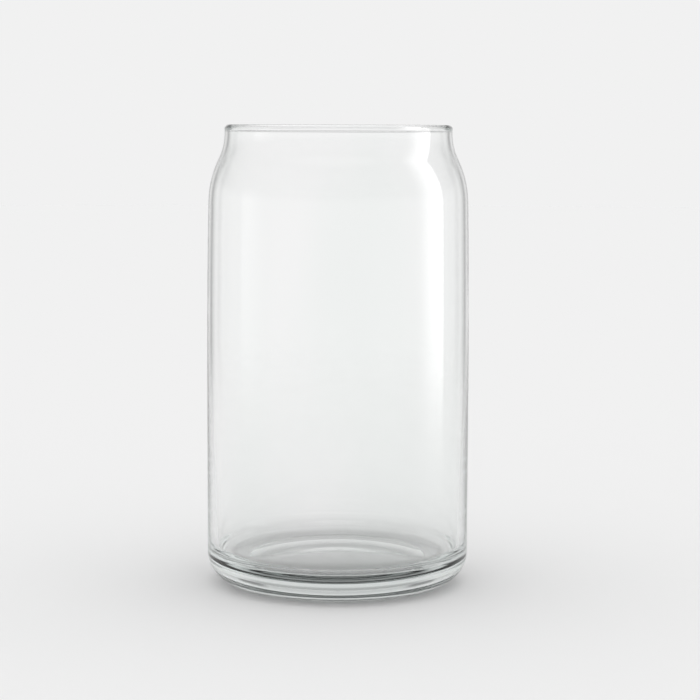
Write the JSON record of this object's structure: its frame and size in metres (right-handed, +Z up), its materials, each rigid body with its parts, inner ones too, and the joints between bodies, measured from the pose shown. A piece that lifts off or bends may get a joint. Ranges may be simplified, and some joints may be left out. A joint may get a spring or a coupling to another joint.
{
  "type": "can shaped drinking glass",
  "caption": "Clear drinking glass shaped like a drinks can, with a straight body, a rounded shoulder, a narrower mouth with a round lip and a thick hollowed foot.",
  "frame": {"origin": "centre of the standing ring, on the surface the glass stands on", "axes": "+Z up along the axis of revolution, from the foot to the rim; X and Y are alike"},
  "size_m": [0.076, 0.076, 0.133],
  "materials": {
    "clear_glass": "clear colourless soda-lime glass, smooth inside and out, fire polished at the rim"
  },
  "bodies": {
    "root": {"glass": "clear_glass"}
  },
  "joints": []
}
